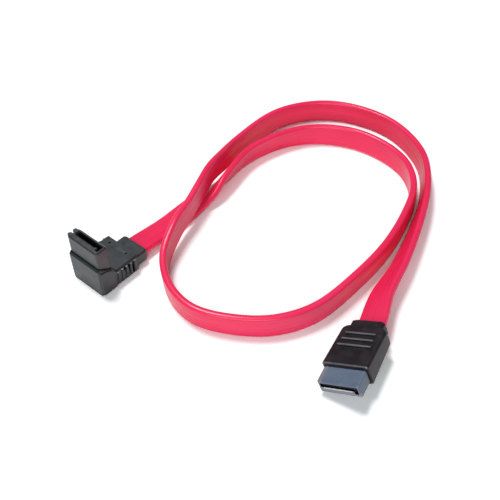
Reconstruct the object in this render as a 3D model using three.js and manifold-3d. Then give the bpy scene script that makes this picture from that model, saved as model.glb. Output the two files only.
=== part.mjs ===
// A flat serial data cable lying in one and a half loops, with a straight plug and a right-angle plug.
// Millimetres, +Z up. The origin lies on the table, midway between the two plugs.
// The straight plug points toward -Y, the right-angle plug's nose points up.

import * as THREE from 'three';
import { mergeVertices } from 'three/addons/utils/BufferGeometryUtils.js';
import Module from 'manifold-3d';

const wasm = await Module();
wasm.setup();

// Cable
const CABLE_WIDTH = 8.0;
const CABLE_THICKNESS = 2.2;
const JACKET_CORNER = 0.9;
const STEPS_PER_POINT = 2;

// Mating nose, the same on both plugs
const NOSE_WIDTH = 12.0;
const NOSE_HEIGHT = 4.2;
const NOSE_CORNER = 0.6;
const NOSE_CHAMFER = 0.35;
const ROOT_WIDTH = 11.2;
const ROOT_HEIGHT = 3.8;
const SLOT_WIDTH = 10.55;
const SLOT_HEIGHT = 1.4;
const THIN_WALL = 0.75;
const SLOT_DEPTH = 6.4;
const KEY_WIDTH = 1.15;
const KEY_DROP = 1.0;
const LEAD_IN = 0.4;
const GROOVE_WIDTH = 0.9;
const GROOVE_DEPTH = 0.35;

// Contacts
const CONTACT_COUNT = 7;
const MIDDLE_CONTACT = (CONTACT_COUNT + 1) / 2;
const CONTACT_PITCH = 1.27;
const CONTACT_OFFSET = -0.5;
const CONTACT_WIDTH = 0.46;
const CONTACT_THICKNESS = 0.2;
const CONTACT_TAIL = 3.6;
const CONTACT_CROWN = 0.35;
const CROWN_LENGTH = 0.5;
const CROWN_SETBACK = 1.0;
const TAIL_BEND = 1.0;
const TAIL_BEND_INNER = 0.3;
const CHANNEL_WIDTH = 0.8;
const CHANNEL_DEPTH = 0.95;
const CHANNEL_SEAT = 0.25;

// Comb that carries the contacts, under the slot
const COMB_WIDTH = 8.9;
const COMB_FLOOR = 0.3;
const FRONT_LIP = 0.6;

// Wires where the jacket is stripped: two pairs of cores, each between two bare drain wires
const CORE_DIAMETER = 0.9;
const CORE_PITCH = 1.15;
const PAIR_SPREAD = 1.75;
const CONDUCTOR_DIAMETER = 0.36;
const CORE_STRIP = 2.6;
const DRAIN_DIAMETER = 0.36;
const DRAIN_SPREAD = 0.34;
const OUTER_DRAIN = 3.2;
const FAN_START = 0.8;
const FAN_END = 3.7;
const WIRE_LENGTH = 6.6;

// Straight overmould
const STRAIGHT_NOSE_LENGTH = 5.1;
const STRAIGHT_ROOT_LENGTH = 4.2;
const BODY_WIDTH = 13.2;
const BODY_HEIGHT = 6.5;
const BODY_REAR_HEIGHT = 5.1;
const BODY_LENGTH = 14.6;
const BODY_CORNER = 0.9;
const RIM_CHAMFER = 0.3;
const SHOULDER_ROUND = 1.5;
const SHOULDER_STEPS = 4;
const NECK_WIDTH = 9.8;
const NECK_HEIGHT = 4.6;
const NECK_LENGTH = 2.7;
const NECK_ROUND = 0.6;
const GRIP_COUNT = 3;
const GRIP_SPAN = 9.8;
const GRIP_NARROWING = 0.5;
const GRIP_THICKNESS = 0.6;
const GRIP_CORNER = 0.27;
const GRIP_RAISE = 0.35;
const GRIP_PITCH = 2.3;
const GRIP_START = 6.9;

// Right-angle overmould
const ELBOW_NOSE_TOP = 16.5;
const ELBOW_ROOT_LENGTH = 2.6;
const ELBOW_WIDTH = 13.2;
const ELBOW_LENGTH = 14.4;
const ELBOW_DEPTH = 5.8;
const ELBOW_SHOULDER = 10.8;
const ELBOW_HEEL = 8.0;
const LEG_HEIGHT = 6.2;
const ELBOW_BEVEL = 0.5;
const ELBOW_CORNER_CUT = 1.4;
const LEDGE_DROP = 1.1;
const BLOCK_WIDTH = 9.6;
const BLOCK_HEIGHT = 4.4;
const BLOCK_LENGTH = 4.2;
const ENTRY_HEIGHT = 2.9;
const ENTRY_OFFSET = 1.2;
const RIB_COUNT = 5;
const RIB_PITCH = 1.6;
const RIB_START = 1.44;
const RIB_RADIUS = 0.45;
const RIB_HEIGHT = 4.6;
const RIB_FOOT = 0.9;
const PAD_RAISE = 0.3;
const PAD_LENGTH = 4.6;
const DIMPLE_DIAMETER = 0.9;
const DIMPLE_DEPTH = 0.4;
const DIMPLE_SPACING = 7.0;
const DIMPLE_SETBACK = 1.8;

// Clearances
const GAP = 0.3;
const SLOT_GAP = 0.2;
const JACKET_DEPTH = 3.0;
const POCKET_HEIGHT = 3.4;
const OVERCUT = 0.5;

// The straight plug lies rolled, on its lower left edge
const STRAIGHT_ROLL = 23.6;

const materials = {
  jacket: { color: 0xe8335c, roughness: 0.28, metalness: 0 },
  overmould: { color: 0x2a292d, roughness: 0.42, metalness: 0 },
  housing: { color: 0x4c5866, roughness: 0.45, metalness: 0 },
  contact: { color: 0xc9a455, roughness: 0.3, metalness: 1 },
  core: { color: 0xe9e6df, roughness: 0.5, metalness: 0 },
  drain: { color: 0xc4c6c9, roughness: 0.35, metalness: 1 },
};

// Solid helpers
function toSolid(geometry) {
  const bare = geometry.index ? geometry.toNonIndexed() : geometry.clone();
  bare.deleteAttribute('normal');
  bare.deleteAttribute('uv');
  const merged = mergeVertices(bare, 1e-5);
  return new wasm.Manifold(new wasm.Mesh({
    numProp: 3,
    vertProperties: Float32Array.from(merged.attributes.position.array),
    triVerts: Uint32Array.from(merged.index.array),
  }));
}

function toGeometry(solid) {
  const mesh = solid.getMesh();
  const geometry = new THREE.BufferGeometry();
  geometry.setAttribute('position', new THREE.BufferAttribute(mesh.vertProperties, 3));
  geometry.setIndex(new THREE.BufferAttribute(mesh.triVerts, 1));
  return geometry;
}

function join(...geometries) {
  return geometries.map(toSolid).reduce((whole, piece) => whole.add(piece));
}

function cutAll(solid, cuts) {
  return cuts.map(toSolid).reduce((rest, cut) => rest.subtract(cut), solid);
}

function box(x0, x1, y0, y1, z0, z1) {
  const geometry = new THREE.BoxGeometry(x1 - x0, y1 - y0, z1 - z0);
  return geometry.translate((x0 + x1) / 2, (y0 + y1) / 2, (z0 + z1) / 2);
}

const acrossBox = (x0, x1, width, z0, z1) => box(x0, x1, -width / 2, width / 2, z0, z1);

function roundedOutline(width, height, radius) {
  const shape = new THREE.Shape();
  const x = width / 2 - radius;
  const y = height / 2 - radius;
  shape.absarc(x, y, radius, 0, Math.PI / 2);
  shape.absarc(-x, y, radius, Math.PI / 2, Math.PI);
  shape.absarc(-x, -y, radius, Math.PI, 1.5 * Math.PI);
  shape.absarc(x, -y, radius, 1.5 * Math.PI, 2 * Math.PI);
  shape.closePath();
  return shape;
}

// A body along X whose rounded section changes from station to station: [x, width, height]
function loft(stations, radius, curveSegments = 2) {
  const unit = 4 * radius;
  const outline = roundedOutline(unit, unit, radius);
  const steps = stations.length - 1;
  const options = { depth: steps, steps, curveSegments, bevelEnabled: false };
  const geometry = new THREE.ExtrudeGeometry(outline, options);
  const position = geometry.attributes.position;
  for (let i = 0; i < position.count; i++) {
    const [x, width, height] = stations[Math.round(position.getZ(i))];
    const y = position.getX(i);
    const z = position.getY(i);
    const spreadY = Math.sign(y) * (width - unit) / 2;
    const spreadZ = Math.sign(z) * (height - unit) / 2;
    position.setXYZ(i, x, y + spreadY, z + spreadZ);
  }
  return geometry;
}

// An outline drawn in X and Z, extruded along Y and centred on it
function extrudeAcross(points, width, bevel = 0) {
  const shape = new THREE.Shape(points.map(([x, z]) => new THREE.Vector2(x, z)));
  const options = {
    depth: width - 2 * bevel,
    bevelEnabled: bevel > 0,
    bevelSize: bevel,
    bevelOffset: -bevel,
    bevelThickness: bevel,
    bevelSegments: 1,
  };
  const geometry = new THREE.ExtrudeGeometry(shape, options);
  return geometry.translate(0, 0, bevel - width / 2).rotateX(Math.PI / 2);
}

function addMesh(parent, name, geometry, material) {
  const mesh = new THREE.Mesh(geometry, new THREE.MeshStandardMaterial(materials[material]));
  mesh.name = name;
  parent.add(mesh);
}

// Nose frame: X runs out of the plug from the overmould's face, Y toward the key, Z toward the thin wall
const noseTop = NOSE_HEIGHT / 2;
const slotTop = noseTop - THIN_WALL;
const slotFloor = slotTop - SLOT_HEIGHT;
const channelFloor = slotFloor - CHANNEL_DEPTH;
const contactSeat = channelFloor + CHANNEL_SEAT;
const combBottom = channelFloor - COMB_FLOOR;
const contactY = (number) => CONTACT_OFFSET + (number - MIDDLE_CONTACT) * CONTACT_PITCH;
const combFront = (noseLength) => GAP + noseLength - FRONT_LIP - SLOT_GAP;

function housingGeometry(noseLength, rootLength) {
  const front = GAP + noseLength;
  const nose = loft([
    [GAP, NOSE_WIDTH, NOSE_HEIGHT],
    [front - NOSE_CHAMFER, NOSE_WIDTH, NOSE_HEIGHT],
    [front, NOSE_WIDTH - 2 * NOSE_CHAMFER, NOSE_HEIGHT - 2 * NOSE_CHAMFER],
  ], NOSE_CORNER);
  const root = acrossBox(-rootLength, GAP + OVERCUT, ROOT_WIDTH, -ROOT_HEIGHT / 2, ROOT_HEIGHT / 2);
  const slotBack = front - SLOT_DEPTH;
  const keyEnd = SLOT_WIDTH / 2;
  const slot = acrossBox(slotBack, front + OVERCUT, SLOT_WIDTH, slotFloor, slotTop);
  const key = box(slotBack, front + OVERCUT, keyEnd - KEY_WIDTH, keyEnd, slotFloor - KEY_DROP, slotTop);
  const mouth = extrudeAcross([
    [front - LEAD_IN, slotFloor],
    [front + LEAD_IN, slotFloor - 2 * LEAD_IN],
    [front + LEAD_IN, slotFloor],
  ], SLOT_WIDTH - 2 * KEY_WIDTH).translate(0, -KEY_WIDTH / 2, 0);
  const grooveEnd = -NOSE_WIDTH / 2;
  const groove = box(GAP + OVERCUT, front + OVERCUT, grooveEnd - OVERCUT, grooveEnd + GROOVE_DEPTH,
    -GROOVE_WIDTH / 2, GROOVE_WIDTH / 2);
  const combPocket = acrossBox(-rootLength - OVERCUT, front - FRONT_LIP, COMB_WIDTH + 2 * SLOT_GAP,
    combBottom - SLOT_GAP, slotFloor + SLOT_GAP).translate(0, CONTACT_OFFSET, 0);
  return toGeometry(cutAll(join(nose, root), [slot, key, mouth, groove, combPocket]));
}

function combGeometry(noseLength, rootLength) {
  const front = combFront(noseLength);
  const block = acrossBox(-rootLength, front, COMB_WIDTH, combBottom, slotFloor);
  block.translate(0, CONTACT_OFFSET, 0);
  const channels = [];
  for (let number = 1; number <= CONTACT_COUNT; number++) {
    const channel = acrossBox(-rootLength - OVERCUT, front + OVERCUT, CHANNEL_WIDTH, channelFloor, slotTop);
    channels.push(channel.translate(0, contactY(number), 0));
  }
  return toGeometry(cutAll(toSolid(block), channels));
}

// A spring contact as a bent strip: the points run along its underside, from the soldered tail to the tip
function contactGeometry(tailPoints, noseLength) {
  const crown = slotFloor + CONTACT_CROWN;
  const tip = combFront(noseLength);
  const beam = [
    [GAP, contactSeat],
    [tip - CROWN_SETBACK - CROWN_LENGTH, crown - CONTACT_THICKNESS],
    [tip - CROWN_SETBACK, crown - CONTACT_THICKNESS],
    [tip, slotFloor - CONTACT_THICKNESS - SLOT_GAP],
  ];
  return stripGeometry([...tailPoints, ...beam]);
}

function stripGeometry(points) {
  const line = points.map(([x, z]) => new THREE.Vector2(x, z));
  const normalAt = (i) => {
    const before = line[Math.max(i - 1, 0)];
    const after = line[Math.min(i + 1, line.length - 1)];
    const into = line[i].clone().sub(before).normalize();
    const out = after.clone().sub(line[i]).normalize();
    const along = into.add(out).normalize();
    const turn = i > 0 && i < line.length - 1 ? along.dot(out) : 1;
    return new THREE.Vector2(-along.y, along.x).multiplyScalar(CONTACT_THICKNESS / turn);
  };
  const upper = line.map((point, i) => point.clone().add(normalAt(i)));
  const outline = [...line, ...upper.reverse()].map((point) => [point.x, point.y]);
  return extrudeAcross(outline, CONTACT_WIDTH);
}

// Wires run along X from the jacket's end and fan out from the cable's spacing to the contacts'
function wireGeometry(diameter, fromY, toY, end) {
  const outline = new THREE.Shape().absarc(0, 0, diameter / 2, 0, 2 * Math.PI);
  const path = new THREE.CatmullRomCurve3([
    new THREE.Vector3(GAP, fromY, 0),
    new THREE.Vector3(FAN_START, fromY, 0),
    new THREE.Vector3(FAN_END, toY, 0),
    new THREE.Vector3(end, toY, 0),
  ]);
  return new THREE.ExtrudeGeometry(outline, { steps: 6, curveSegments: 4, extrudePath: path });
}

function coreGeometry(fromY, toY) {
  const stripped = WIRE_LENGTH - CORE_STRIP;
  const radius = CONDUCTOR_DIAMETER / 2;
  const length = CORE_STRIP + OVERCUT;
  const conductor = new THREE.CylinderGeometry(radius, radius, length, 8).rotateZ(Math.PI / 2);
  conductor.translate(WIRE_LENGTH - length / 2, toY, 0);
  return toGeometry(join(wireGeometry(CORE_DIAMETER, fromY, toY, stripped), conductor));
}

// The two cores of a pair go to the two contacts between its drain wires, and across is the nose's middle
function addWires(plug, prefix, across) {
  const signals = [
    [2, -PAIR_SPREAD - CORE_PITCH / 2],
    [3, -PAIR_SPREAD + CORE_PITCH / 2],
    [5, PAIR_SPREAD - CORE_PITCH / 2],
    [6, PAIR_SPREAD + CORE_PITCH / 2],
  ];
  for (const [number, fromY] of signals) {
    addMesh(plug, `${prefix}_core_${number}`, coreGeometry(fromY, across + contactY(number)), 'core');
  }
  const ground = [
    ['drain_1', -OUTER_DRAIN, contactY(1)],
    ['drain_4a', -DRAIN_SPREAD, contactY(MIDDLE_CONTACT) - DRAIN_SPREAD],
    ['drain_4b', DRAIN_SPREAD, contactY(MIDDLE_CONTACT) + DRAIN_SPREAD],
    ['drain_7', OUTER_DRAIN, contactY(CONTACT_COUNT)],
  ];
  for (const [name, fromY, toY] of ground) {
    const geometry = wireGeometry(DRAIN_DIAMETER, fromY, across + toY, WIRE_LENGTH);
    addMesh(plug, `${prefix}_${name}`, geometry, 'drain');
  }
}

// The nose group is turned so that its X runs out of the plug
function addNose(plug, prefix, { noseLength, rootLength, tail, position, turn }) {
  const nose = new THREE.Group();
  nose.position.copy(position);
  nose.rotation.y = turn;
  addMesh(nose, `${prefix}_housing`, housingGeometry(noseLength, rootLength), 'housing');
  addMesh(nose, `${prefix}_comb`, combGeometry(noseLength, rootLength), 'housing');
  for (let number = 1; number <= CONTACT_COUNT; number++) {
    const geometry = contactGeometry(tail, noseLength).translate(0, contactY(number), 0);
    addMesh(nose, `${prefix}_contact_${number}`, geometry, 'contact');
  }
  plug.add(nose);
}

// Plug frames: the origin is the middle of the jacket's cut end, X runs on out of the cable
const plugRear = -JACKET_DEPTH;
const tailStart = WIRE_LENGTH - CORE_STRIP + GAP;
const tailUnderside = -CONDUCTOR_DIAMETER / 2 - SLOT_GAP - CONTACT_THICKNESS;
const pocketWidth = ROOT_WIDTH + 2 * GAP;
const rootPocketHeight = ROOT_HEIGHT + 2 * GAP;

function jacketBore() {
  const height = CABLE_THICKNESS / 2 + GAP;
  return acrossBox(plugRear - OVERCUT, GAP, CABLE_WIDTH + 2 * GAP, -height, height);
}

// Straight plug
const straightShoulder = plugRear + NECK_LENGTH;
const straightFace = straightShoulder + BODY_LENGTH;

function bodyHeightAt(x) {
  const share = (x - straightShoulder) / BODY_LENGTH;
  return BODY_REAR_HEIGHT + (BODY_HEIGHT - BODY_REAR_HEIGHT) * share;
}

function straightOutside() {
  const stations = [
    [plugRear, NECK_WIDTH - 2 * NECK_ROUND, NECK_HEIGHT - NECK_ROUND],
    [plugRear + NECK_ROUND, NECK_WIDTH, NECK_HEIGHT],
    [straightShoulder - GAP / 2, NECK_WIDTH, NECK_HEIGHT],
  ];
  for (let i = 0; i <= SHOULDER_STEPS; i++) {
    const angle = (i / SHOULDER_STEPS) * Math.PI / 2;
    const cut = SHOULDER_ROUND * (1 - Math.sin(angle));
    const x = straightShoulder + SHOULDER_ROUND * (1 - Math.cos(angle));
    stations.push([x, BODY_WIDTH - 2 * cut, bodyHeightAt(x)]);
  }
  stations.push([straightFace - RIM_CHAMFER, BODY_WIDTH, BODY_HEIGHT]);
  stations.push([straightFace, BODY_WIDTH - 2 * RIM_CHAMFER, BODY_HEIGHT - 2 * RIM_CHAMFER]);
  return loft(stations, BODY_CORNER, 3);
}

// One ridge across the top and the underside at once
function gripRidge(x, span) {
  const reach = bodyHeightAt(x) + 2 * GRIP_RAISE;
  const outline = roundedOutline(GRIP_THICKNESS, span, GRIP_CORNER);
  const ridge = new THREE.ExtrudeGeometry(outline, { depth: reach, curveSegments: 2, bevelEnabled: false });
  return ridge.translate(x, 0, -reach / 2);
}

function straightOvermouldGeometry() {
  let solid = toSolid(straightOutside());
  for (let i = 0; i < GRIP_COUNT; i++) {
    const ridge = gripRidge(straightFace - GRIP_START - i * GRIP_PITCH, GRIP_SPAN - i * GRIP_NARROWING);
    solid = solid.add(toSolid(ridge));
  }
  const rootEnd = straightFace - STRAIGHT_ROOT_LENGTH - GAP;
  return toGeometry(cutAll(solid, [
    jacketBore(),
    acrossBox(0, rootEnd + GAP, pocketWidth, -POCKET_HEIGHT / 2, POCKET_HEIGHT / 2),
    acrossBox(rootEnd, straightFace + OVERCUT, pocketWidth, -rootPocketHeight / 2, rootPocketHeight / 2),
  ]));
}

function straightPlug() {
  const plug = new THREE.Group();
  addMesh(plug, 'straight_overmould', straightOvermouldGeometry(), 'overmould');
  addNose(plug, 'straight', {
    noseLength: STRAIGHT_NOSE_LENGTH,
    rootLength: STRAIGHT_ROOT_LENGTH,
    position: new THREE.Vector3(straightFace, 0, 0),
    turn: 0,
    tail: [
      [tailStart - straightFace, tailUnderside],
      [tailStart + CONTACT_TAIL - straightFace, tailUnderside],
      [-STRAIGHT_ROOT_LENGTH, contactSeat],
    ],
  });
  addWires(plug, 'straight', 0);
  return plug;
}

// Right-angle plug, standing on its back. The cable enters it on the key's side of its middle
const elbowMiddle = -ENTRY_OFFSET;
const elbowBase = -ENTRY_HEIGHT;
const legRear = plugRear + BLOCK_LENGTH;
const elbowFace = legRear + ELBOW_LENGTH;
const noseMiddle = elbowFace - ELBOW_DEPTH / 2;
const noseInner = noseMiddle - NOSE_HEIGHT / 2;
const noseOuter = noseMiddle + NOSE_HEIGHT / 2;
const shoulderTop = elbowBase + ELBOW_SHOULDER;
const heelTop = elbowBase + ELBOW_HEEL;
const legTop = elbowBase + LEG_HEIGHT;

const elbowBox = (...sides) => acrossBox(...sides).translate(0, elbowMiddle, 0);

function elbowOutside() {
  const outside = extrudeAcross([
    [legRear, elbowBase],
    [elbowFace, elbowBase],
    [elbowFace, shoulderTop - LEDGE_DROP],
    [noseOuter, shoulderTop],
    [noseInner - GAP, heelTop],
    [noseInner - GAP - (heelTop - legTop) / 2, legTop],
    [legRear, legTop],
  ], ELBOW_WIDTH, ELBOW_BEVEL);
  return outside.translate(0, elbowMiddle, 0);
}

function entryBlock() {
  const rounded = [
    [plugRear, BLOCK_WIDTH - NECK_ROUND, BLOCK_HEIGHT - NECK_ROUND],
    [plugRear + NECK_ROUND, BLOCK_WIDTH, BLOCK_HEIGHT],
    [legRear + OVERCUT, BLOCK_WIDTH, BLOCK_HEIGHT],
  ];
  return loft(rounded, NECK_ROUND, 2);
}

// A smooth pad on each narrow side, its upper inner corner drawn as a quarter round
function sidePad() {
  const inner = elbowFace - ELBOW_BEVEL - PAD_LENGTH;
  const foot = elbowBase + ELBOW_BEVEL;
  const shape = new THREE.Shape();
  shape.moveTo(inner, foot);
  shape.lineTo(elbowFace - ELBOW_BEVEL, foot);
  shape.lineTo(elbowFace - ELBOW_BEVEL, shoulderTop - LEDGE_DROP - ELBOW_BEVEL);
  shape.quadraticCurveTo(inner, shoulderTop - LEDGE_DROP - 2 * ELBOW_BEVEL, inner, legTop - ELBOW_BEVEL);
  shape.closePath();
  const width = ELBOW_WIDTH + 2 * PAD_RAISE;
  const pad = new THREE.ExtrudeGeometry(shape, { depth: width, curveSegments: 5, bevelEnabled: false });
  return pad.translate(0, 0, -width / 2).rotateX(Math.PI / 2).translate(0, elbowMiddle, 0);
}

function gripRib(x, side) {
  const rib = new THREE.CylinderGeometry(RIB_RADIUS, RIB_RADIUS, RIB_HEIGHT, 8);
  const middle = elbowBase + RIB_FOOT + RIB_HEIGHT / 2;
  return rib.rotateX(Math.PI / 2).translate(x, elbowMiddle + side * ELBOW_WIDTH / 2, middle);
}

function dimple(y) {
  const hole = new THREE.CylinderGeometry(DIMPLE_DIAMETER / 2, DIMPLE_DIAMETER / 2, 2 * DIMPLE_DEPTH, 10);
  return hole.rotateX(Math.PI / 2).translate(legRear + DIMPLE_SETBACK, elbowMiddle + y, legTop);
}

function cornerCut() {
  const size = Math.SQRT2 * ELBOW_CORNER_CUT;
  const cutter = new THREE.BoxGeometry(ELBOW_LENGTH + 2 * OVERCUT, size, size).rotateX(Math.PI / 4);
  const side = elbowMiddle - ELBOW_WIDTH / 2 - PAD_RAISE;
  return cutter.translate(legRear + ELBOW_LENGTH / 2, side, elbowBase);
}

function angledOvermouldGeometry() {
  let solid = join(elbowOutside(), entryBlock(), sidePad());
  for (let i = 0; i < RIB_COUNT; i++) {
    const x = legRear + RIB_START + i * RIB_PITCH;
    for (const side of [-1, 1]) {
      solid = solid.add(toSolid(gripRib(x, side)));
    }
  }
  const halfRoot = rootPocketHeight / 2;
  const rootEnd = heelTop - ELBOW_ROOT_LENGTH - GAP;
  const pocketEnd = noseMiddle + halfRoot;
  return toGeometry(cutAll(solid, [
    cornerCut(),
    dimple(-DIMPLE_SPACING / 2),
    dimple(DIMPLE_SPACING / 2),
    jacketBore(),
    elbowBox(0, pocketEnd, pocketWidth, -POCKET_HEIGHT / 2, POCKET_HEIGHT / 2),
    elbowBox(noseMiddle - halfRoot, pocketEnd, pocketWidth, 0, rootEnd + GAP),
    elbowBox(noseMiddle - halfRoot, pocketEnd, pocketWidth, rootEnd, heelTop + OVERCUT),
    elbowBox(noseInner - GAP, noseOuter + GAP, NOSE_WIDTH + 2 * GAP, heelTop, shoulderTop + OVERCUT),
  ]));
}

function angledPlug() {
  const plug = new THREE.Group();
  addMesh(plug, 'angled_overmould', angledOvermouldGeometry(), 'overmould');
  const down = tailUnderside - heelTop;
  addNose(plug, 'angled', {
    noseLength: elbowBase + ELBOW_NOSE_TOP - heelTop - GAP,
    rootLength: ELBOW_ROOT_LENGTH,
    position: new THREE.Vector3(noseMiddle, elbowMiddle, heelTop),
    turn: -Math.PI / 2,
    tail: [
      [down, noseMiddle - tailStart],
      [down, contactSeat + TAIL_BEND],
      [down + TAIL_BEND_INNER, contactSeat + TAIL_BEND_INNER],
      [down + TAIL_BEND, contactSeat],
    ],
  });
  addWires(plug, 'angled', elbowMiddle);
  return plug;
}

// How high the middle of a rounded bar lies when it rests on the table, rolled by an angle in degrees
function rollHeight(width, height, corner, degrees) {
  const angle = THREE.MathUtils.degToRad(degrees);
  const sine = Math.abs(Math.sin(angle));
  const cosine = Math.abs(Math.cos(angle));
  return sine * (width / 2 - corner) + cosine * (height / 2 - corner) + corner;
}

const restHeight = (twist) => rollHeight(CABLE_WIDTH, CABLE_THICKNESS, 0, twist);
const STRAIGHT_TWIST = STRAIGHT_ROLL - 180;
const ENTRY_LIFT = ENTRY_HEIGHT - restHeight(0);
const rolledBody = rollHeight(BODY_WIDTH, BODY_HEIGHT, BODY_CORNER, STRAIGHT_ROLL);
const ROLL_LIFT = rolledBody - restHeight(STRAIGHT_TWIST);

// The cable's middle line from the right-angle plug to the straight one: x, y, lift, twist.
// The twist is 0 where the cable lies flat and -90 where it stands on its edge. The lift is how far
// its lowest edge is above the table. It passes under itself near the right-angle plug.
const ROUTE = [
  [-28.88, 23.88, ENTRY_LIFT, 0],
  [-25.79, 27.55, ENTRY_LIFT, 0],
  [-18.5, 36.6, 0.3, 0],
  [-11.1, 45.9, 0, -3],
  [-5.9, 51, 0, -24],
  [-0.8, 57.4, 0, -60],
  [7.1, 69.5, 0, -69],
  [18.6, 78.2, 0, -82],
  [30.9, 81.7, 0, -92],
  [44.2, 79.2, 0, -95],
  [54.5, 71.6, 0, -92],
  [60.4, 61.8, 0, -87],
  [61, 49.8, 0, -85],
  [56.3, 37.2, 0, -86],
  [48.4, 23.4, 0, -87],
  [38.5, 11.3, 0, -88],
  [26.5, -0.2, 0, -88],
  [14.4, -5, 0, -90],
  [1.9, -4.6, 0, -92],
  [-8.4, -0.8, 0, -93],
  [-15.1, 7.7, 0, -94],
  [-17.6, 18.9, 0.6, -93],
  [-14.8, 29.9, 2.9, -95],
  [-11.2, 38.7, 3.5, -92],
  [-8.4, 46.8, 4.3, -94],
  [-5.4, 55.4, 4.4, -98],
  [-1.5, 63.9, 2.6, -100],
  [4.2, 74.7, 0.6, -100],
  [13.2, 86.8, 0, -98],
  [22.4, 93.7, 0, -93],
  [34.4, 96.5, 0, -92],
  [45.8, 94.2, 0, -91],
  [56.6, 87.2, 0, -90],
  [63.5, 77.1, 0, -90],
  [66.7, 64.7, 0, -92],
  [65, 50.1, 0, -97],
  [60, 35.5, 0, -109],
  [52.6, 19, 0.3, -123],
  [45.3, 5.9, 1.4, -141],
  [41.42, -4.48, ROLL_LIFT, STRAIGHT_TWIST],
  [39.12, -8.98, ROLL_LIFT, STRAIGHT_TWIST],
];

const planCurve = new THREE.CatmullRomCurve3(
  ROUTE.map(([x, y, lift]) => new THREE.Vector3(x, y, lift)), false, 'catmullrom', 0.5);

// The cable's frame at a place along the route, 0 to 1: middle, forward, across its width, and through it
function ribbonFrame(t) {
  const place = t * (ROUTE.length - 1);
  const before = Math.min(Math.floor(place), ROUTE.length - 2);
  const twist = THREE.MathUtils.lerp(ROUTE[before][3], ROUTE[before + 1][3], place - before);
  const plan = planCurve.getPoint(t);
  const middle = new THREE.Vector3(plan.x, plan.y, restHeight(twist) + Math.max(plan.z, 0));
  const step = planCurve.getTangent(t);
  const forward = new THREE.Vector3(step.x, step.y, 0).normalize();
  const left = new THREE.Vector3(-forward.y, forward.x, 0);
  const up = new THREE.Vector3(0, 0, 1);
  const angle = THREE.MathUtils.degToRad(twist);
  const across = left.clone().multiplyScalar(Math.cos(angle)).addScaledVector(up, Math.sin(angle));
  const through = left.multiplyScalar(-Math.sin(angle)).addScaledVector(up, Math.cos(angle));
  return { middle, forward, across, through };
}

function jacketGeometry() {
  const outline = roundedOutline(CABLE_WIDTH, CABLE_THICKNESS, JACKET_CORNER);
  const steps = (ROUTE.length - 1) * STEPS_PER_POINT;
  const options = { depth: 1, steps, curveSegments: 2, bevelEnabled: false };
  const geometry = new THREE.ExtrudeGeometry(outline, options);
  const position = geometry.attributes.position;
  for (let i = 0; i < position.count; i++) {
    const { middle, across, through } = ribbonFrame(position.getZ(i));
    middle.addScaledVector(across, position.getX(i)).addScaledVector(through, position.getY(i));
    position.setXYZ(i, middle.x, middle.y, middle.z);
  }
  return geometry;
}

// A plug sits on an end of the cable, its X running on out of it and its key on the side away from across
function placePlug(plug, t, direction) {
  const { middle, forward, across } = ribbonFrame(t);
  const x = forward.multiplyScalar(direction);
  const y = across.negate();
  const z = x.clone().cross(y);
  plug.quaternion.setFromRotationMatrix(new THREE.Matrix4().makeBasis(x, y, z));
  plug.position.copy(middle);
  return plug;
}

const cable = new THREE.Group();
addMesh(cable, 'cable_jacket', jacketGeometry(), 'jacket');
cable.add(placePlug(angledPlug(), 0, -1));
cable.add(placePlug(straightPlug(), 1, 1));

export default cable;
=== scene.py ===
# A flat serial data cable in one and a half loops, with a straight plug and a right-angle plug.
import math

import bmesh
import bpy
from mathutils import Matrix, Vector


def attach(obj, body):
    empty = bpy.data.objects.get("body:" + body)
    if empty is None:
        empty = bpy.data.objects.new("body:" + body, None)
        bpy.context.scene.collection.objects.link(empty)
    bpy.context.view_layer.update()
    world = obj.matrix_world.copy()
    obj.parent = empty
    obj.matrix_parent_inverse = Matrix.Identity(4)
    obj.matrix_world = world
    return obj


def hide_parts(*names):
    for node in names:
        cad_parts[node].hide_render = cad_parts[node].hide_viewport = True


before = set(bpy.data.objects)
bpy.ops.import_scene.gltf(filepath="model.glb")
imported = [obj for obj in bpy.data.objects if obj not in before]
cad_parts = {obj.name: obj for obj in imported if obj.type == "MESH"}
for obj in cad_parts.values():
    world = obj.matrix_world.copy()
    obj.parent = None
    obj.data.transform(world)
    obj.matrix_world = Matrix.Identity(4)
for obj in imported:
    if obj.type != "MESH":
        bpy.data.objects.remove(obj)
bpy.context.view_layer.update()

MM = 0.001
BODY = "root"

# The camera, fitted to the photograph: its place in metres, tilt in degrees, sensor and lens in millimetres
CAMERA_PLACE = (0.0077, -0.12702, 0.15834)
CAMERA_TILT = 44.33
SENSOR_WIDTH = 36.0
LENS = 51.5
CLIP_NEAR = 0.01
CLIP_FAR = 20.0

# The cable's section
WIDTH = 8.0 * MM
THICKNESS = 2.2 * MM
EDGE_RADIUS = 0.9 * MM
SWELL_HEIGHT = 0.05 * MM
EDGE_STEPS = 8
FACE_STEPS = 16
RINGS_PER_POINT = 14

# The cable's lift in metres in the right-angle plug, and its lift and roll in the straight one
ENTRY_LIFT = 1.8 * MM
ROLL_LIFT = 2.7257 * MM
STRAIGHT_TWIST = -156.4

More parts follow.
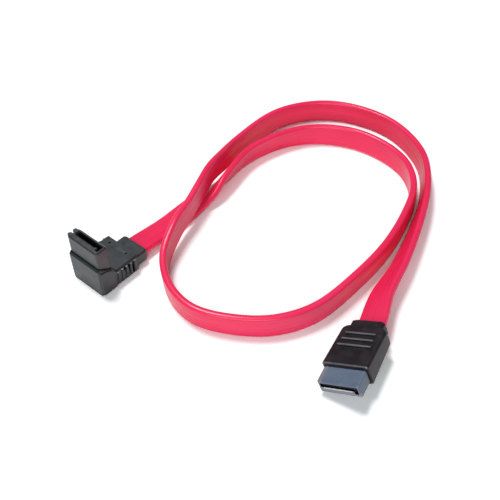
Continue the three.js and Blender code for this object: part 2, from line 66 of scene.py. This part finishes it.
# The solid's route, eased a little where the cable passes over itself:
# x, y and lift in metres, and the twist in degrees
ROUTE = [
    (-0.02888, 0.02388, ENTRY_LIFT, 0), (-0.02579, 0.02755, ENTRY_LIFT, 0), (-0.0185, 0.0366, 0.0003, 0),
    (-0.0111, 0.0459, 0, -3), (-0.0059, 0.051, 0, -26), (-0.0008, 0.0574, 0, -64),
    (0.0071, 0.0695, 0, -79), (0.0186, 0.0782, 0, -84), (0.0309, 0.0817, 0, -92),
    (0.0442, 0.0792, 0, -95), (0.0545, 0.0716, 0, -92), (0.0604, 0.0618, 0, -87),
    (0.061, 0.0498, 0, -85), (0.0563, 0.0372, 0, -86), (0.0484, 0.0234, 0, -87),
    (0.0385, 0.0113, 0, -88), (0.0265, -0.0002, 0, -88), (0.0144, -0.005, 0, -90),
    (0.0019, -0.0046, 0, -92), (-0.0084, -0.0008, 0, -93), (-0.0151, 0.0077, 0, -94),
    (-0.0176, 0.0189, 0.0006, -93), (-0.0148, 0.0299, 0.0029, -95), (-0.0112, 0.0387, 0.0035, -92),
    (-0.0082, 0.0468, 0.0043, -91), (-0.0053, 0.0554, 0.0041, -91), (-0.0016, 0.0641, 0.0022, -95),
    (0.0041, 0.0748, 0.0005, -98), (0.0132, 0.0868, 0, -98), (0.0224, 0.0937, 0, -93),
    (0.0344, 0.0965, 0, -92), (0.0458, 0.0942, 0, -91), (0.0566, 0.0872, 0, -90),
    (0.0635, 0.0771, 0, -90), (0.0667, 0.0647, 0, -92), (0.065, 0.0501, 0, -97),
    (0.06, 0.0355, 0, -109), (0.0526, 0.019, 0.0003, -123), (0.0453, 0.0059, 0.0014, -141),
    (0.04142, -0.00448, ROLL_LIFT, STRAIGHT_TWIST), (0.03912, -0.00898, ROLL_LIFT, STRAIGHT_TWIST),
]

# The plugs in their own frames, in millimetres: faces, the nose and its L-shaped slot
STRAIGHT_FACE = 14.3
STRAIGHT_FRONT = 5.4
BODY_HEIGHT = 5.1
BODY_RISE = 1.4
BODY_LENGTH = 14.6
SLOT_TOP = 1.35
SLOT_FLOOR = -0.05
SLOT_HALF = 5.275
SLOT_DEPTH = 6.6
KEY_INNER = 4.125
KEY_FLOOR = -1.05
TABLE = -2.9
ENTRY_OFFSET = 1.2
ELBOW_FACE = 15.6
NOSE_MIDDLE = ELBOW_FACE - 2.9
HEEL_TOP = TABLE + 8.0
ANGLED_FRONT = TABLE + 16.5 - HEEL_TOP

# Where the faces with painted shade and painted highlight lie on the plugs, as ranges in millimetres
RIDGES_BEHIND_FACE = (6.0, 12.5)
LEAD_IN_HEIGHT = (SLOT_FLOOR - 0.55, SLOT_FLOOR + 0.1)
RIM_LENGTH = 0.4
RIM_LOWEST = 2.5
LEDGE_DEPTH = 1.3
LEDGE_LOWEST = 5.0
LEDGE_HALF = 6.4
RIBS_ALONG = (2.0, 9.6)
RIB_TOPS = (2.3, 2.75)
RIBS_OUTSIDE = 6.68
DIMPLES_ALONG = (2.4, 3.6)
DIMPLES_HEIGHT = (2.8, 3.25)
DIMPLE_OFFSET = 3.5
DIMPLE_REACH = 0.6

# Reach of the face tests in the slot, in millimetres: behind its rim, and beside its walls
BEHIND_RIM = 0.12
BESIDE_WALL = 0.05

# Rounded edges of the mouldings, and the two ribs on the end of the right-angle nose, in millimetres
BODY_ROUNDING = 0.16
NOSE_ROUNDING = 0.08
RIB_END = -5.9
RIB_PLACES = (-1.0, 1.0)
RIB_HALF = 0.76
RIB_OUT = 1.15
RIB_TIP = 0.2
RIB_FOOT = 0.02
RIB_ROOT = 0.3
RIB_STEPS = 8

# The pale floor as it lights the object and as the camera sees it, and where it fades to white, in metres
FLOOR_TONE = (0.88, 0.88, 0.88)
FLOOR_SEEN = (1.24, 1.29, 1.3)
FLOOR_REACH = 3.0
FLOOR_DROP = 0.00002
FADE_FROM = 0.2
FADE_TO = 0.8

# The light: the world's strength, and each lamp's name, place, size in metres and power in watts
WORLD_LIGHT = 0.16
LIT_MIDDLE = (0.01, 0.03, 0.0)
LAMPS = [
    ("key", (-0.2, 0.24, 0.88), (0.26, 0.26), 6.0),
    ("front", (-0.1, -0.75, 0.4), (0.8, 0.3), 4.5),
]

CONTACTS = [f"contact_{number}" for number in range(1, 8)]
CORES = [f"core_{number}" for number in (2, 3, 5, 6)]
DRAINS = [f"drain_{end}" for end in ("1", "4a", "4b", "7")]


def add_object(name, data):
    thing = bpy.data.objects.new(name, data)
    bpy.context.scene.collection.objects.link(thing)
    return thing


def add_camera():
    data = bpy.data.cameras.new("camera")
    data.sensor_width = SENSOR_WIDTH
    data.lens = LENS
    data.clip_start = CLIP_NEAR
    data.clip_end = CLIP_FAR
    camera = add_object("camera", data)
    camera.location = CAMERA_PLACE
    camera.rotation_euler = (math.radians(CAMERA_TILT), 0.0, 0.0)
    bpy.context.scene.camera = camera


# Materials
class Shader:
    """A Principled material with helpers for its procedural nodes."""

    def __init__(self, name, color, roughness, **sockets):
        self.material = bpy.data.materials.new(name)
        self.material.use_nodes = True
        self.nodes = self.material.node_tree.nodes
        self.links = self.material.node_tree.links
        self.bsdf = self.nodes["Principled BSDF"]
        self.bsdf.inputs["Base Color"].default_value = (*color, 1.0)
        self.bsdf.inputs["Roughness"].default_value = roughness
        for socket, value in sockets.items():
            self.bsdf.inputs[socket.replace("_", " ")].default_value = value
        self.where = self.nodes.new("ShaderNodeTexCoord").outputs["Object"]

    def noise(self, scale, detail=3.0, stretch=None, where=None):
        node = self.nodes.new("ShaderNodeTexNoise")
        node.inputs["Scale"].default_value = scale
        node.inputs["Detail"].default_value = detail
        source = where or self.where
        if stretch:
            mapping = self.nodes.new("ShaderNodeMapping")
            mapping.inputs["Scale"].default_value = stretch
            self.links.new(source, mapping.inputs["Vector"])
            source = mapping.outputs["Vector"]
        self.links.new(source, node.inputs["Vector"])
        return node.outputs["Fac"]

    def ramp(self, source, low, high, to_low=0.0, to_high=1.0):
        node = self.nodes.new("ShaderNodeMapRange")
        node.inputs["From Min"].default_value = low
        node.inputs["From Max"].default_value = high
        node.inputs["To Min"].default_value = to_low
        node.inputs["To Max"].default_value = to_high
        self.links.new(source, node.inputs["Value"])
        return node.outputs["Result"]

    def calculate(self, operation, a, b):
        node = self.nodes.new("ShaderNodeMath")
        node.operation = operation
        for value, socket in zip((a, b), node.inputs):
            if isinstance(value, float):
                socket.default_value = value
            else:
                self.links.new(value, socket)
        return node.outputs[0]

    def mix(self, factor, first, second):
        node = self.nodes.new("ShaderNodeMix")
        node.data_type = "RGBA"
        self.links.new(factor, node.inputs["Factor"])
        for value, socket in ((first, node.inputs[6]), (second, node.inputs[7])):
            if isinstance(value, tuple):
                socket.default_value = (*value, 1.0)
            else:
                self.links.new(value, socket)
        return node.outputs[2]

    def attribute(self, name):
        node = self.nodes.new("ShaderNodeAttribute")
        node.attribute_name = name
        return node.outputs["Fac"]

    # Paler convex edges found by Pointiness: partly edge wear, partly painted highlight.
    def wear_and_highlight_edges(self, amount):
        edge = self.nodes.new("ShaderNodeNewGeometry").outputs["Pointiness"]
        return self.ramp(edge, low=0.53, high=0.62, to_high=amount)

    def set(self, socket, source):
        self.links.new(source, self.bsdf.inputs[socket])

    def bump(self, *layers):
        """Each layer is (height source, distance in metres, strength); fine ones come last."""
        normal = None
        for height, distance, strength in layers:
            node = self.nodes.new("ShaderNodeBump")
            node.inputs["Distance"].default_value = distance
            node.inputs["Strength"].default_value = strength
            self.links.new(height, node.inputs["Height"])
            if normal:
                self.links.new(normal, node.inputs["Normal"])
            normal = node.outputs["Normal"]
        self.links.new(normal, self.bsdf.inputs["Normal"])


def jacket_material():
    """Glossy soft vinyl: faint draw lines along the cable, slow changes of tone and a soft sheen."""
    s = Shader("jacket_vinyl", (0.86, 0.025, 0.105), 0.3, IOR=1.4, Coat_Weight=0.1, Coat_Roughness=0.12)
    tone = s.ramp(s.noise(scale=60.0, detail=2.0), low=0.3, high=0.7)
    s.set("Base Color", s.mix(tone, (0.83, 0.021, 0.092), (0.89, 0.029, 0.122)))
    lines = s.nodes.new("ShaderNodeCombineXYZ")
    s.links.new(s.attribute("across"), lines.inputs["X"])
    s.links.new(s.attribute("along"), lines.inputs["Y"])
    drawn = s.noise(scale=1.0, stretch=(2600.0, 40.0, 1.0), where=lines.outputs["Vector"])
    waves = s.noise(scale=260.0, detail=2.0)
    grain = s.noise(scale=5200.0, detail=2.0)
    s.set("Roughness", s.ramp(drawn, low=0.25, high=0.75, to_low=0.24, to_high=0.36))
    s.bump((waves, 0.12 * MM, 0.2), (drawn, 0.02 * MM, 0.12), (grain, 0.006 * MM, 0.3))
    return s.material


def overmould_material(name, dark, light, rough, ior=1.5):
    """Moulded vinyl: spark-eroded grain, slight blotches, and paler edges that are partly wear and partly
    painted highlight.
    """
    s = Shader(name, dark, rough, IOR=ior)
    blotch = s.noise(scale=420.0, detail=4.0)
    mottle = s.ramp(blotch, low=0.35, high=0.65, to_high=0.45)
    # Paler edges: partly wear, partly painted highlight.
    s.set("Base Color", s.mix(s.calculate("ADD", mottle, s.wear_and_highlight_edges(0.8)), dark, light))
    s.set("Roughness", s.ramp(blotch, low=0.3, high=0.7, to_low=rough - 0.05, to_high=rough + 0.07))
    lumps = s.noise(scale=900.0, detail=2.0)
    grain = s.noise(scale=9000.0, detail=2.0)
    s.bump((lumps, 0.03 * MM, 0.25), (grain, 0.012 * MM, 0.5))
    return s.material


def housing_material(name, dark, light, rough, ior=1.5, lip=None):
    """Glass-filled plastic: a fine speckle of fibres in a satin surface.

    A lip is (the nose's frame, its front in millimetres, and the tint of the painted highlight on the lip
    and the left end).
    """
    s = Shader(name, dark, rough, IOR=ior)
    fibre = s.noise(scale=5200.0, detail=2.0, stretch=(1.0, 0.35, 1.0))
    cloud = s.noise(scale=500.0)
    speckle = s.ramp(fibre, low=0.42, high=0.68, to_high=0.6)
    mottle = s.ramp(cloud, low=0.35, high=0.65, to_high=0.3)
    # The paler edges are partly wear and partly painted highlight.
    tone = s.calculate("ADD", s.calculate("ADD", speckle, mottle), s.wear_and_highlight_edges(1.6))
    color = s.mix(tone, dark, light)
    # The lip's tint is a painted highlight on the front lip and the nose's left end.
    if lip:
        nose_frame, front, tint = lip
        color = s.mix(lip_highlight_mask(s, nose_frame, front * MM), color, tint)
    s.set("Base Color", color)
    s.set("Roughness", s.ramp(cloud, low=0.3, high=0.7, to_low=rough - 0.06, to_high=rough + 0.08))
    s.bump((fibre, 0.01 * MM, 0.45),)
    return s.material


def lip_highlight_mask(s, nose_frame, front):
    """One where the painted highlight lies, on the front lip under the slot and round the nose's left end,
    and zero elsewhere.
    """
    def along(axis):
        direction = nose_frame.col[axis].to_3d()
        dot = s.nodes.new("ShaderNodeVectorMath")
        dot.operation = "DOT_PRODUCT"
        dot.inputs[1].default_value = direction
        s.links.new(s.where, dot.inputs[0])
        return s.calculate("SUBTRACT", dot.outputs["Value"], float(direction.dot(nose_frame.translation)))

    x, y, z = along(0), along(1), along(2)
    under = s.ramp(z, low=-0.4 * MM, high=-0.6 * MM)
    near_front = s.ramp(x, low=front - 0.6 * MM, high=front - 0.3 * MM)
    left_end = s.ramp(y, low=-4.4 * MM, high=-4.8 * MM)
    return s.calculate("MAXIMUM", s.calculate("MINIMUM", under, near_front), left_end)


def metal_material(name, color, worn_color, rough, stretch):
    """Thin plated metal: rolling lines and small changes of tone."""
    s = Shader(name, color, rough, Metallic=1.0)
    rolled = s.noise(scale=3000.0, stretch=stretch)
    stain = s.noise(scale=900.0)
    s.set("Base Color", s.mix(s.ramp(stain, low=0.4, high=0.7), color, worn_color))
    s.set("Roughness", s.ramp(rolled, low=0.3, high=0.7, to_low=rough - 0.08, to_high=rough + 0.1))
    s.bump((rolled, 0.006 * MM, 0.4),)
    return s.material


def core_material():
    """Foamed white wire insulation, slightly uneven."""
    s = Shader("core_insulation", (0.8, 0.79, 0.74), 0.5)
    mottle = s.noise(scale=1800.0)
    s.set("Base Color", s.mix(s.ramp(mottle, low=0.3, high=0.7), (0.74, 0.73, 0.68), (0.84, 0.83, 0.79)))
    s.bump((mottle, 0.01 * MM, 0.4),)
    return s.material


# The cable
def cubic(before, start, end, after, u):
    """A smooth curve from start to end, with the value and the slope at u."""
    slope_start, slope_end = (end - before) / 2, (after - start) / 2
    a = 2 * start - 2 * end + slope_start + slope_end
    b = -3 * start + 3 * end - 2 * slope_start - slope_end
    return a * u ** 3 + b * u ** 2 + slope_start * u + start, 3 * a * u ** 2 + 2 * b * u + slope_start


def rest_height(twist):
    angle = math.radians(twist)
    return abs(math.sin(angle)) * WIDTH / 2 + abs(math.cos(angle)) * THICKNESS / 2


def smooth_twist(i, u):
    """The twist eases through each point of the route, where a straight line between points would crease."""
    twists = [row[3] for row in ROUTE]
    start, end = twists[i], twists[i + 1]
    if start == end:
        return start
    before = twists[i - 1] if i > 0 else start
    after = twists[i + 2] if i + 2 < len(twists) else end
    return cubic(before, start, end, after, u)[0]


def route_frame(place):
    """The cable at a place along its route, counted in points.

    It gives the middle, and the directions forward, across the width and through the thickness.
    """
    i = min(int(place), len(ROUTE) - 2)
    u = place - i
    points = [Vector(row[:3]) for row in ROUTE]
    start, end = points[i], points[i + 1]
    before = points[i - 1] if i > 0 else 2 * start - end
    after = points[i + 2] if i + 2 < len(points) else 2 * end - start
    plan, step = cubic(before, start, end, after, u)
    twist = smooth_twist(i, u)
    middle = Vector((plan.x, plan.y, rest_height(twist) + max(plan.z, 0.0)))
    forward = Vector((step.x, step.y, 0.0)).normalized()
    left = Vector((-forward.y, forward.x, 0.0))
    up = Vector((0.0, 0.0, 1.0))
    angle = math.radians(twist)
    across = left * math.cos(angle) + up * math.sin(angle)
    through = up * math.cos(angle) - left * math.sin(angle)
    return middle, forward, across, through


def ribbon_profile():
    """The cable's section: rounded edges, and the two wire pairs as very low swells on each face."""
    half = WIDTH / 2 - EDGE_RADIUS
    flat = THICKNESS / 2 - EDGE_RADIUS

    def hollow(x):
        return SWELL_HEIGHT / 2 * (1 + math.cos(2 * math.pi * x / half)) if abs(x) < half else 0.0

    points = []
    for side in (1, -1):
        for i in range(EDGE_STEPS):
            turn = math.pi * ((i + 0.5) / EDGE_STEPS - 0.5)
            x = half + EDGE_RADIUS * math.cos(turn)
            y = math.copysign(flat, turn) + EDGE_RADIUS * math.sin(turn)
            points.append((side * x, side * y))
        for i in range(FACE_STEPS + 1):
            x = half * (1 - 2 * i / FACE_STEPS)
            points.append((side * x, side * (THICKNESS / 2 - hollow(x))))
    return points


def outward_normals(mesh):
    bm = bmesh.new()
    bm.from_mesh(mesh)
    bmesh.ops.recalc_face_normals(bm, faces=bm.faces)
    bm.to_mesh(mesh)
    bm.free()


def ribbon():
    """The cable as one closed strip, with its own coordinates across and along for the material."""
    profile = ribbon_profile()
    count = (len(ROUTE) - 1) * RINGS_PER_POINT
    rings = [route_frame(k / RINGS_PER_POINT) for k in range(count + 1)]
    vertices, across_values, along_values = [], [], []
    other_face = 10 * MM
    walked = 0.0
    for k, (middle, forward, across, through) in enumerate(rings):
        if k:
            walked += (middle - rings[k - 1][0]).length
        for x, y in profile:
            vertices.append(middle + across * x + through * y)
            across_values.append(x + (other_face if y > 0 else 0.0))
            along_values.append(walked)
    n = len(profile)
    faces = []
    for k in range(count):
        for j in range(n):
            nxt = (j + 1) % n
            faces.append((k * n + j, k * n + nxt, (k + 1) * n + nxt, (k + 1) * n + j))
    faces.append(tuple(range(n - 1, -1, -1)))
    faces.append(tuple(range(count * n, count * n + n)))
    mesh = bpy.data.meshes.new("cable_ribbon")
    mesh.from_pydata(vertices, [], faces)
    for name, values in (("across", across_values), ("along", along_values)):
        mesh.attributes.new(name, "FLOAT", "POINT").data.foreach_set("value", values)
    mesh.validate()
    outward_normals(mesh)
    piece = add_object("cable_ribbon", mesh)
    mesh.shade_smooth()
    return piece, [ring[0] for ring in rings]


# The mouldings
def rounded_copy(node, name, rounding):
    """A copy of a CAD node with its flat faces made whole and every sharp edge rounded, in millimetres."""
    bm = bmesh.new()
    bm.from_mesh(bpy.data.objects[node].data)
    bmesh.ops.remove_doubles(bm, verts=bm.verts, dist=0.001 * MM)
    bmesh.ops.dissolve_limit(bm, angle_limit=math.radians(1.0), verts=bm.verts, edges=bm.edges)
    mesh = bpy.data.meshes.new(name)
    bm.to_mesh(mesh)
    bm.free()
    piece = add_object(name, mesh)
    bevel = piece.modifiers.new("rounding", "BEVEL")
    bevel.width = rounding * MM
    bevel.segments = 2
    bevel.limit_method = "ANGLE"
    bevel.angle_limit = math.radians(24.0)
    bevel.use_clamp_overlap = True
    bevel.miter_outer = "MITER_ARC"
    mesh.shade_smooth()
    normals = piece.modifiers.new("normals", "WEIGHTED_NORMAL")
    normals.keep_sharp = True
    depsgraph = bpy.context.evaluated_depsgraph_get()
    done = bpy.data.meshes.new_from_object(piece.evaluated_get(depsgraph))
    piece.modifiers.clear()
    piece.data = done
    return piece


def end_ribs(name, matrix, height):
    """Two rounded ribs that stand side by side on the outer narrow end of a nose."""
    def outline(inset):
        side = RIB_HALF - inset
        middle = RIB_END - RIB_OUT + RIB_HALF
        turns = [math.pi * (0.5 + k / RIB_STEPS) for k in range(RIB_STEPS + 1)]
        tip = [(middle + side * math.cos(turn), side * math.sin(turn)) for turn in turns]
        return [(RIB_END + RIB_ROOT, side), *tip, (RIB_END + RIB_ROOT, -side)]

    bm = bmesh.new()
    for z in RIB_PLACES:
        rings = []
        for x, inset in ((RIB_FOOT, 0.0), (height - RIB_TIP, 0.0), (height, RIB_TIP)):
            rings.append([bm.verts.new(matrix @ (Vector((x, y, z + w)) * MM)) for y, w in outline(inset)])
        for low, high in zip(rings, rings[1:]):
            for k in range(len(low)):
                nxt = (k + 1) % len(low)
                bm.faces.new((low[k], low[nxt], high[nxt], high[k]))
        bm.faces.new(rings[0])
        bm.faces.new(rings[-1])
    bmesh.ops.recalc_face_normals(bm, faces=bm.faces)
    mesh = bpy.data.meshes.new(name)
    bm.to_mesh(mesh)
    bm.free()
    return add_object(name, mesh)


def finish_piece(piece, material, slot, *nodes):
    piece.data.materials.clear()
    piece.data.materials.append(material)
    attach(piece, BODY)
    if nodes:
        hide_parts(*nodes)


def dress_node(node, material):
    for slot in bpy.data.objects[node].material_slots:
        slot.material = material


def plug_frame(place, direction):
    """World matrix of a plug: its origin at the jacket's cut end and X running out of the cable."""
    middle, forward, across, through = route_frame(place)
    x = forward * direction
    y = -across
    turn = Matrix((x, y, x.cross(y))).transposed()
    return Matrix.Translation(middle) @ turn.to_4x4()


# Faces that get a second material, painted shade on some and painted highlight on others: each test gets a
# face's centre and normal in its plug's or nose's frame
def paint_faces(piece, frame_matrix, material, chosen):
    piece.data.materials.append(material)
    index = len(piece.data.materials) - 1
    inverse = frame_matrix.inverted()
    turn = inverse.to_3x3()
    for polygon in piece.data.polygons:
        if chosen((inverse @ polygon.center) / MM, turn @ polygon.normal):
            polygon.material_index = index


def in_slot(front):
    def chosen(c, n):
        inside = front - SLOT_DEPTH < c.x < front - BEHIND_RIM and abs(c.y) < SLOT_HALF + BESIDE_WALL
        main = SLOT_FLOOR - BESIDE_WALL < c.z < SLOT_TOP + BESIDE_WALL
        key = c.y > KEY_INNER - BESIDE_WALL and KEY_FLOOR - BESIDE_WALL < c.z < SLOT_TOP
        return inside and (main or key)
    return chosen


def on_slot_ends(front):
    def chosen(c, n):
        inside = front - SLOT_DEPTH < c.x < front - BEHIND_RIM and n.y > 0.8
        end = SLOT_FLOOR < c.z < SLOT_TOP and c.y < 0.12 - SLOT_HALF
        key_step = c.z < SLOT_FLOOR and abs(c.y - KEY_INNER) < 0.12
        return inside and (end or key_step)
    return chosen


def within(value, limits):
    return limits[0] < value < limits[1]


def on_lead_in(c, n):
    return c.x > STRAIGHT_FRONT - 0.5 and within(c.z, LEAD_IN_HEIGHT) and n.x > 0.3 and n.z > 0.25


def on_rim(c, n):
    return c.x > STRAIGHT_FACE - RIM_LENGTH and c.z > RIM_LOWEST and n.x > 0.2 and n.z > 0.3


def on_ridge(c, n):
    surface = 0.5 * (BODY_HEIGHT + BODY_RISE * c.x / BODY_LENGTH)
    return within(STRAIGHT_FACE - c.x, RIDGES_BEHIND_FACE) and c.z > surface + 0.25 and n.z > 0.995


def on_ledge(c, n):
    outside = abs(c.y + ENTRY_OFFSET)
    return c.x > ELBOW_FACE - LEDGE_DEPTH and c.z > LEDGE_LOWEST and outside < LEDGE_HALF and n.z > 0.3


def on_rib_tip(c, n):
    outside = abs(c.y + ENTRY_OFFSET)
    return within(c.x, RIBS_ALONG) and within(c.z, RIB_TOPS) and outside > RIBS_OUTSIDE and n.z > 0.2


def in_dimple(c, n):
    from_dimple = abs(abs(c.y + ENTRY_OFFSET) - DIMPLE_OFFSET)
    return within(c.x, DIMPLES_ALONG) and within(c.z, DIMPLES_HEIGHT) and from_dimple < DIMPLE_REACH


# Floor and light
def add_floor():
    mesh = bpy.data.meshes.new("floor")
    signs = ((-1, -1), (1, -1), (1, 1), (-1, 1))
    corners = [(x * FLOOR_REACH, y * FLOOR_REACH, -FLOOR_DROP) for x, y in signs]
    mesh.from_pydata(corners, [], [(0, 1, 2, 3)])
    floor = add_object("floor", mesh)
    material = bpy.data.materials.new("floor_white")
    material.use_nodes = True
    nodes, links = material.node_tree.nodes, material.node_tree.links
    nodes.remove(nodes["Principled BSDF"])
    camera_ray = nodes.new("ShaderNodeLightPath").outputs["Is Camera Ray"]

    diffuse = nodes.new("ShaderNodeBsdfDiffuse")
    tone = nodes.new("ShaderNodeMix")
    tone.data_type = "RGBA"
    tone.inputs[6].default_value = (*FLOOR_TONE, 1.0)
    tone.inputs[7].default_value = (*FLOOR_SEEN, 1.0)
    links.new(camera_ray, tone.inputs["Factor"])
    links.new(tone.outputs[2], diffuse.inputs["Color"])

    away = nodes.new("ShaderNodeVectorMath")
    away.operation = "LENGTH"
    links.new(nodes.new("ShaderNodeTexCoord").outputs["Object"], away.inputs[0])
    rise = nodes.new("ShaderNodeMapRange")
    rise.inputs["From Min"].default_value = FADE_FROM
    rise.inputs["From Max"].default_value = FADE_TO
    links.new(away.outputs["Value"], rise.inputs["Value"])
    seen = nodes.new("ShaderNodeMath")
    seen.operation = "MULTIPLY"
    links.new(rise.outputs["Result"], seen.inputs[0])
    links.new(camera_ray, seen.inputs[1])
    backdrop = nodes.new("ShaderNodeEmission")
    links.new(seen.outputs[0], backdrop.inputs["Strength"])

    add = nodes.new("ShaderNodeAddShader")
    links.new(diffuse.outputs[0], add.inputs[0])
    links.new(backdrop.outputs[0], add.inputs[1])
    links.new(add.outputs[0], nodes["Material Output"].inputs["Surface"])
    mesh.materials.append(material)


def add_world():
    """A dim white world that the camera, also through clear things, sees as full white."""
    world = bpy.data.worlds.new("world")
    bpy.context.scene.world = world
    world.use_nodes = True
    nodes, links = world.node_tree.nodes, world.node_tree.links
    background = nodes["Background"]
    background.inputs["Color"].default_value = (1, 1, 1, 1)
    path = nodes.new("ShaderNodeLightPath")
    seen = nodes.new("ShaderNodeMath")
    seen.operation = "MAXIMUM"
    links.new(path.outputs["Is Camera Ray"], seen.inputs[0])
    links.new(path.outputs["Is Transmission Ray"], seen.inputs[1])
    strength = nodes.new("ShaderNodeMapRange")
    strength.inputs["To Min"].default_value = WORLD_LIGHT
    strength.inputs["To Max"].default_value = 1.0
    links.new(seen.outputs[0], strength.inputs["Value"])
    links.new(strength.outputs["Result"], background.inputs["Strength"])


def add_lamps():
    for name, place, size, power in LAMPS:
        data = bpy.data.lights.new(name, "AREA")
        data.shape = "RECTANGLE"
        data.size, data.size_y = size
        data.energy = power
        lamp = add_object(name, data)
        lamp.location = place
        lamp.rotation_euler = (Vector(LIT_MIDDLE) - Vector(place)).to_track_quat("-Z", "Y").to_euler()


# The scene
add_camera()
cable, line = ribbon()
finish_piece(cable, jacket_material(), "jacket", "cable_jacket")

straight_frame = plug_frame(len(ROUTE) - 1, 1)
straight_nose_frame = straight_frame @ Matrix.Translation((STRAIGHT_FACE * MM, 0, 0))
angled_frame = plug_frame(0, -1)
angled_nose_frame = (angled_frame @ Matrix.Translation((NOSE_MIDDLE * MM, -ENTRY_OFFSET * MM, HEEL_TOP * MM))
                     @ Matrix.Rotation(-math.pi / 2, 4, "Y"))

straight_black = overmould_material("overmould_vinyl", (0.011, 0.0085, 0.012), (0.03, 0.026, 0.033),
                                    rough=0.36, ior=1.4)
angled_black = overmould_material("overmould_vinyl_grey", (0.007, 0.011, 0.014), (0.022, 0.028, 0.034),
                                  rough=0.36, ior=1.57)
# The straight housing has a painted highlight: a paler lilac grey on the front lip under the slot and round
# the nose's left end.
straight_blue = housing_material("housing_plastic", (0.088, 0.122, 0.185), (0.125, 0.165, 0.235), rough=0.36,
                                 lip=(straight_nose_frame, STRAIGHT_FRONT, (0.2, 0.195, 0.24)))
angled_grey = housing_material("housing_plastic_grey", (0.014, 0.018, 0.02), (0.032, 0.037, 0.041),
                               rough=0.36, ior=1.66)
gold = metal_material("contact_gold", (0.42, 0.34, 0.22), (0.28, 0.22, 0.13),
                      rough=0.42, stretch=(1.0, 1.0, 0.1))
tinned = metal_material("drain_tinned", (0.62, 0.62, 0.63), (0.5, 0.5, 0.5),
                        rough=0.34, stretch=(1.0, 1.0, 1.0))
white = core_material()

straight_body = rounded_copy("straight_overmould", "straight_grip_body", BODY_ROUNDING)
finish_piece(straight_body, straight_black, "overmould", "straight_overmould")
angled_body = rounded_copy("angled_overmould", "angled_grip_body", BODY_ROUNDING)
finish_piece(angled_body, angled_black, "overmould", "angled_overmould")
straight_nose = rounded_copy("straight_housing", "straight_nose", NOSE_ROUNDING)
finish_piece(straight_nose, straight_blue, "housing", "straight_housing")
angled_nose = rounded_copy("angled_housing", "angled_nose", NOSE_ROUNDING)
finish_piece(angled_nose, angled_grey, "housing", "angled_housing")
finish_piece(end_ribs("angled_nose_ribs", angled_nose_frame, ANGLED_FRONT - 0.05), angled_grey, "housing")

# Painted shade: a near-black copy of the vinyl on the slots' insides, the right-angle comb and the grip
# dimples, where shade falls in these recesses.
recess_painted_shade = overmould_material("slot_shade", (0.004, 0.006, 0.006), (0.01, 0.013, 0.013), rough=0.5)
# Painted highlight: a paler grey on the straight plug's rim and grip ridge crests, the right-angle rib tips
# and the ends of its slot.
painted_highlight = overmould_material("overmould_painted_highlight", (0.08, 0.076, 0.085), (0.18, 0.17, 0.18), rough=0.32)
# Painted highlight: a near-white lilac on the straight nose's lead-in chamfer under the slot.
lead_in_painted_highlight = housing_material("housing_lead_in", (0.84, 0.84, 0.93), (0.92, 0.92, 0.98), rough=0.25)
# Painted shade: a dark green-black on the right-angle body's ledge beside the nose.
ledge_painted_shade = overmould_material("ledge_shade", (0.005, 0.012, 0.01), (0.012, 0.024, 0.02), rough=0.4)
paint_faces(straight_nose, straight_nose_frame, recess_painted_shade, in_slot(STRAIGHT_FRONT))
paint_faces(straight_nose, straight_nose_frame, lead_in_painted_highlight, on_lead_in)
paint_faces(straight_body, straight_frame, painted_highlight, on_rim)
paint_faces(straight_body, straight_frame, painted_highlight, on_ridge)
paint_faces(angled_nose, angled_nose_frame, recess_painted_shade, in_slot(ANGLED_FRONT))
paint_faces(angled_nose, angled_nose_frame, painted_highlight, on_slot_ends(ANGLED_FRONT))
paint_faces(angled_body, angled_frame, ledge_painted_shade, on_ledge)
paint_faces(angled_body, angled_frame, painted_highlight, on_rib_tip)
paint_faces(angled_body, angled_frame, recess_painted_shade, in_dimple)

dress_node("straight_comb", straight_blue)
# The right-angle comb, deep in its slot, gets the painted shade too.
dress_node("angled_comb", recess_painted_shade)
for side in ("straight", "angled"):
    for names, material in ((CONTACTS, gold), (CORES, white), (DRAINS, tinned)):
        for name in names:
            dress_node(f"{side}_{name}", material)

far_pieces = [straight_body, straight_nose]
far_pieces += [bpy.data.objects[f"straight_{name}"] for name in ("comb", *CONTACTS, *CORES, *DRAINS)]

add_floor()
add_world()
add_lamps()
bpy.context.scene.view_settings.view_transform = "Standard"
